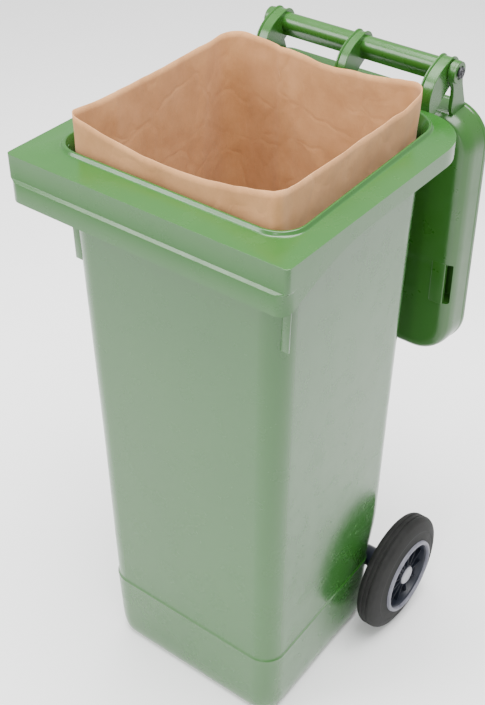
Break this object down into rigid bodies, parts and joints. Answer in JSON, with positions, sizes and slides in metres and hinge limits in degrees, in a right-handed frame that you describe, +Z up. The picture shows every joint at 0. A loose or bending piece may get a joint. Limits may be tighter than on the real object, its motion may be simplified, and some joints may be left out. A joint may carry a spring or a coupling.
{
  "type": "wheelie bin",
  "caption": "Tapered refuse bin with overhanging collar, rear handle, hinged lid hanging open behind, rear axle with rubber-tyred wheels and a removable paper liner.",
  "frame": {"origin": "on the floor, at the middle of the bounding box's footprint", "axes": "+Z up, -Y towards the front of the bin, +X towards its right as seen from the front-facing side with +Z up; the axle, the handle bar and the lid hinge run along X"},
  "size_m": [0.4624, 0.5372, 1.0148],
  "materials": {
    "body_plastic": "moulded, smooth, semi gloss",
    "handle_plastic": "moulded, smooth, semi gloss",
    "lid_plastic": "moulded, smooth, semi gloss",
    "pin_plastic": "moulded, matt",
    "rim_plastic": "moulded, satin",
    "cap_plastic": "moulded, satin",
    "tyre_rubber": "matt rubber",
    "zinc_steel": "zinc plated",
    "kraft_paper": "brown kraft paper, matt"
  },
  "bodies": {
    "bin": {"bin_body": "body_plastic", "handle_bar": "handle_plastic", "handle_bracket_left": "handle_plastic", "handle_bracket_centre": "handle_plastic", "handle_bracket_right": "handle_plastic", "hinge_pin_left": "pin_plastic", "hinge_pin_right": "pin_plastic", "axle": "zinc_steel", "axle_washer_left": "zinc_steel", "axle_washer_right": "zinc_steel"},
    "lid": {"lid": "lid_plastic"},
    "wheel_left": {"wheel_rim_left": "rim_plastic", "tyre_left": "tyre_rubber", "hub_cap_left": "cap_plastic", "lock_spring_left": "zinc_steel"},
    "wheel_right": {"wheel_rim_right": "rim_plastic", "tyre_right": "tyre_rubber", "hub_cap_right": "cap_plastic", "lock_spring_right": "zinc_steel"},
    "lock_left": {"lock_pin_left": "zinc_steel"},
    "lock_right": {"lock_pin_right": "zinc_steel"},
    "liner": {"paper_liner": "kraft_paper"}
  },
  "joints": [
    {"name": "lid_hinge", "type": "hinge", "parent": "bin", "child": "lid", "pos_m": [0, 0.22815, 0.9955], "axis": [-1, 0, 0], "range_deg": [-270, 0], "deforming": ["paper_liner"]},
    {"name": "wheel_left_spin", "type": "hinge", "parent": "bin", "child": "wheel_left", "pos_m": [-0.2, 0.12625, 0.1065], "axis": [1, 0, 0], "continuous": true},
    {"name": "wheel_right_spin", "type": "hinge", "parent": "bin", "child": "wheel_right", "pos_m": [0.2, 0.12625, 0.1065], "axis": [1, 0, 0], "continuous": true},
    {"name": "lock_pin_left_slide", "type": "slide", "parent": "wheel_left", "child": "lock_left", "axis": [0, 0, 1], "range_m": [0, 0.004], "stiffness_N_per_m": 600, "springref_m": -0.004, "deforming": ["lock_spring_left"]},
    {"name": "lock_pin_right_slide", "type": "slide", "parent": "wheel_right", "child": "lock_right", "axis": [0, 0, 1], "range_m": [0, 0.004], "stiffness_N_per_m": 600, "springref_m": -0.004, "deforming": ["lock_spring_right"]},
    {"name": "liner_lift", "type": "slide", "parent": "bin", "child": "liner", "axis": [0, 0, 1], "range_m": [0, 0.95]}
  ]
}
